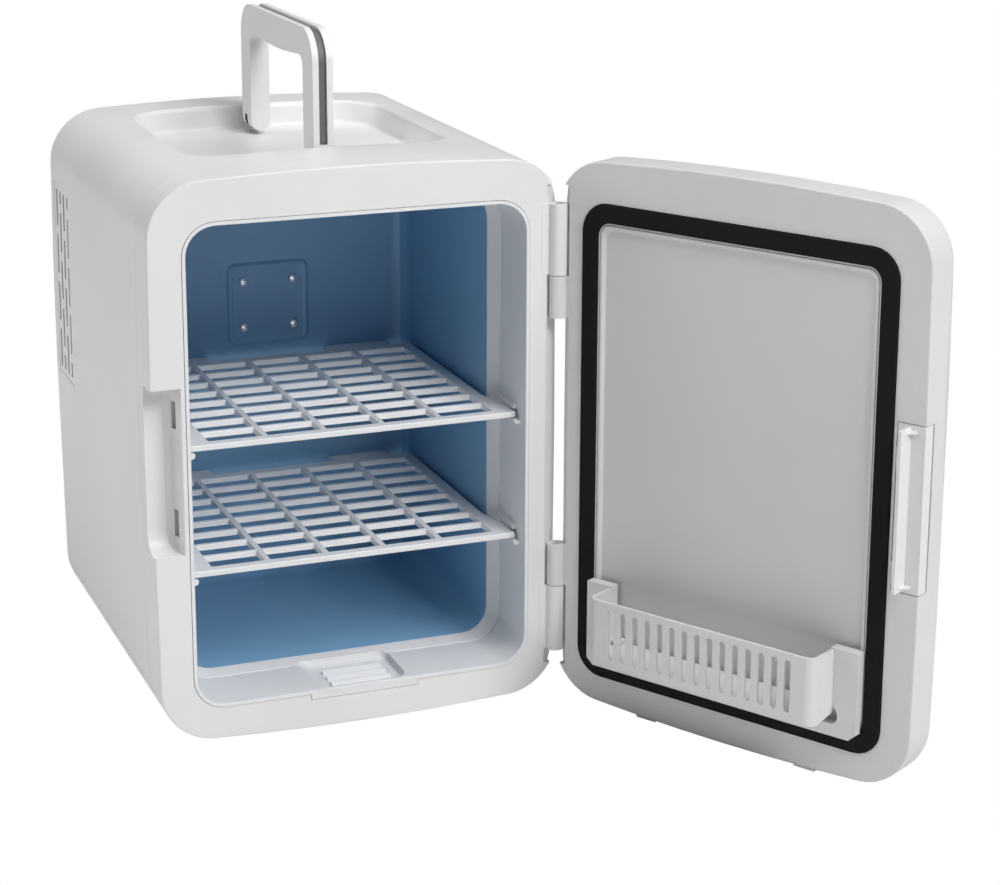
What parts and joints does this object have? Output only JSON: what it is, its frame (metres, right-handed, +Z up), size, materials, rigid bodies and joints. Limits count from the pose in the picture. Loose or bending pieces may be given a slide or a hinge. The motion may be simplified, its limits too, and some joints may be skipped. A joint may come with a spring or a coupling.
{
  "type": "mini fridge",
  "caption": "Portable table-top cool box with a hinged door standing open, slide-out slotted shelves, a door basket, a folding carry handle and a cooling unit at the back.",
  "frame": {"origin": "on the floor under the middle of the cabinet (the mount face is 2.5 mm above it, on top of the feet's height)", "axes": "+X to the right seen from the front, +Y towards the back, +Z up; the front faces -Y and the door hinge is on the +X side"},
  "size_m": [0.3892, 0.4741, 0.4045],
  "materials": {
    "shell_white": "fine satin moulding",
    "liner_blue": "satin blue moulding",
    "clear_white": "satin moulding",
    "foam": "foamed in place",
    "soft_black": "matt",
    "steel": "zinc plated",
    "alloy": "as extruded",
    "ceramic": "ceramic faces",
    "hard_black": "satin moulding",
    "board_green": "solder mask",
    "handle_grey": "satin moulding"
  },
  "bodies": {
    "cabinet": {"cabinet_shell": "shell_white", "front_bezel": "shell_white", "inner_collar": "shell_white", "vent_grille_left": "shell_white", "vent_grille_right": "shell_white", "rear_cover": "shell_white", "inner_liner": "liner_blue", "cold_plate": "liner_blue", "insulation_foam": "foam", "foot_front_left": "soft_black", "foot_front_right": "soft_black", "foot_rear_left": "soft_black", "foot_rear_right": "soft_black", "cold_plate_screw_1": "steel", "cold_plate_screw_2": "steel", "cold_plate_screw_3": "steel", "cold_plate_screw_4": "steel", "rear_cover_screw_1": "steel", "rear_cover_screw_2": "steel", "rear_cover_screw_3": "steel", "rear_cover_screw_4": "steel", "handle_pin_front": "steel", "handle_pin_rear": "steel", "hinge_pin_top": "steel", "hinge_pin_bottom": "steel", "cold_block": "alloy", "heat_sink": "alloy", "peltier_module": "ceramic", "fan_frame": "hard_black", "ac_inlet": "hard_black", "dc_socket": "hard_black", "fan_lead": "hard_black", "power_board": "board_green"},
    "fan": {"fan_rotor": "hard_black"},
    "mode_rocker": {"mode_switch": "hard_black"},
    "handle": {"handle": "shell_white", "handle_trim": "handle_grey"},
    "shelf_upper": {"shelf_upper": "clear_white"},
    "shelf_lower": {"shelf_lower": "clear_white"},
    "door": {"door_frame": "shell_white", "door_front_panel": "shell_white", "door_foam": "foam", "door_gasket": "soft_black", "door_liner": "shell_white", "latch_pin": "steel", "latch_spring": "steel", "door_pad_left": "shell_white", "door_pad_right": "shell_white"},
    "basket": {"door_basket": "clear_white"},
    "latch": {"latch_lever": "shell_white"}
  },
  "joints": [
    {"name": "door_hinge", "type": "hinge", "parent": "cabinet", "child": "door", "pos_m": [0.121, -0.131, 0.17], "axis": [0, 0, 1], "range_deg": [-120, 15]},
    {"name": "handle_pivot", "type": "hinge", "parent": "cabinet", "child": "handle", "pos_m": [0, 0.012, 0.3305], "axis": [0, 1, 0], "range_deg": [-88, 88]},
    {"name": "shelf_upper_slide", "type": "slide", "parent": "cabinet", "child": "shelf_upper", "axis": [0, -1, 0], "range_m": [0, 0.17]},
    {"name": "shelf_lower_slide", "type": "slide", "parent": "cabinet", "child": "shelf_lower", "axis": [0, -1, 0], "range_m": [0, 0.17]},
    {"name": "basket_lift", "type": "slide", "parent": "door", "child": "basket", "axis": [0, 0, 1], "range_m": [0, 0.03]},
    {"name": "latch_pivot", "type": "hinge", "parent": "door", "child": "latch", "pos_m": [0.24743, -0.33698, 0.1702], "axis": [0, 0, 1], "range_deg": [0, 8], "stiffness_Nm_per_rad": 0.15, "deforming": ["latch_spring"]},
    {"name": "fan_spin", "type": "hinge", "parent": "cabinet", "child": "fan", "pos_m": [0.002, 0.1127, 0.2125], "axis": [0, 1, 0], "continuous": true},
    {"name": "mode_rock", "type": "hinge", "parent": "cabinet", "child": "mode_rocker", "pos_m": [0.04, 0.1255, 0.0475], "axis": [1, 0, 0], "range_deg": [-8, 8]}
  ]
}
